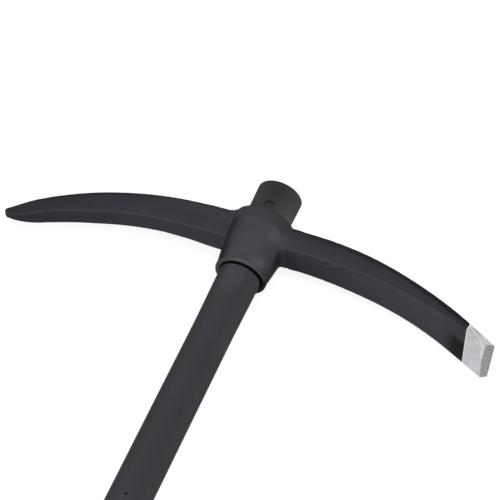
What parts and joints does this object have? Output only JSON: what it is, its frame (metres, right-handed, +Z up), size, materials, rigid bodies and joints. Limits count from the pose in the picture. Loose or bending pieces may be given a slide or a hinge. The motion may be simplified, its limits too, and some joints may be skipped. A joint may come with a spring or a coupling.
{
  "type": "pickaxe",
  "caption": "Pickaxe with a blunt point on one arm and a flat chisel on the other, wedged on the tapered sleeve of a steel tube handle with a ringed rubber grip.",
  "frame": {"origin": "centre of the footprint of the tool lying on its side, on the floor plane that the eye's widest part touches", "axes": "+Y along the handle towards the head's top, +X towards the chisel, +Z up from the floor"},
  "size_m": [0.4844, 0.914, 0.0619],
  "materials": {
    "black_forging": "satin black coat on forged steel, ground bare at the chisel's end",
    "black_sleeve": "satin black coat",
    "grey_tube_coat": "satin dark grey powder coat",
    "blackened_pin": "painted over steel pin",
    "black_plastic": "matt moulded plastic",
    "black_rubber": "matt rubber"
  },
  "bodies": {
    "root": {"pick_head": "black_forging", "wedge_sleeve": "black_sleeve", "handle_tube": "grey_tube_coat", "cross_pin": "blackened_pin", "top_plug": "black_plastic", "grip_sleeve": "black_rubber", "butt_plug": "black_plastic"}
  },
  "joints": []
}
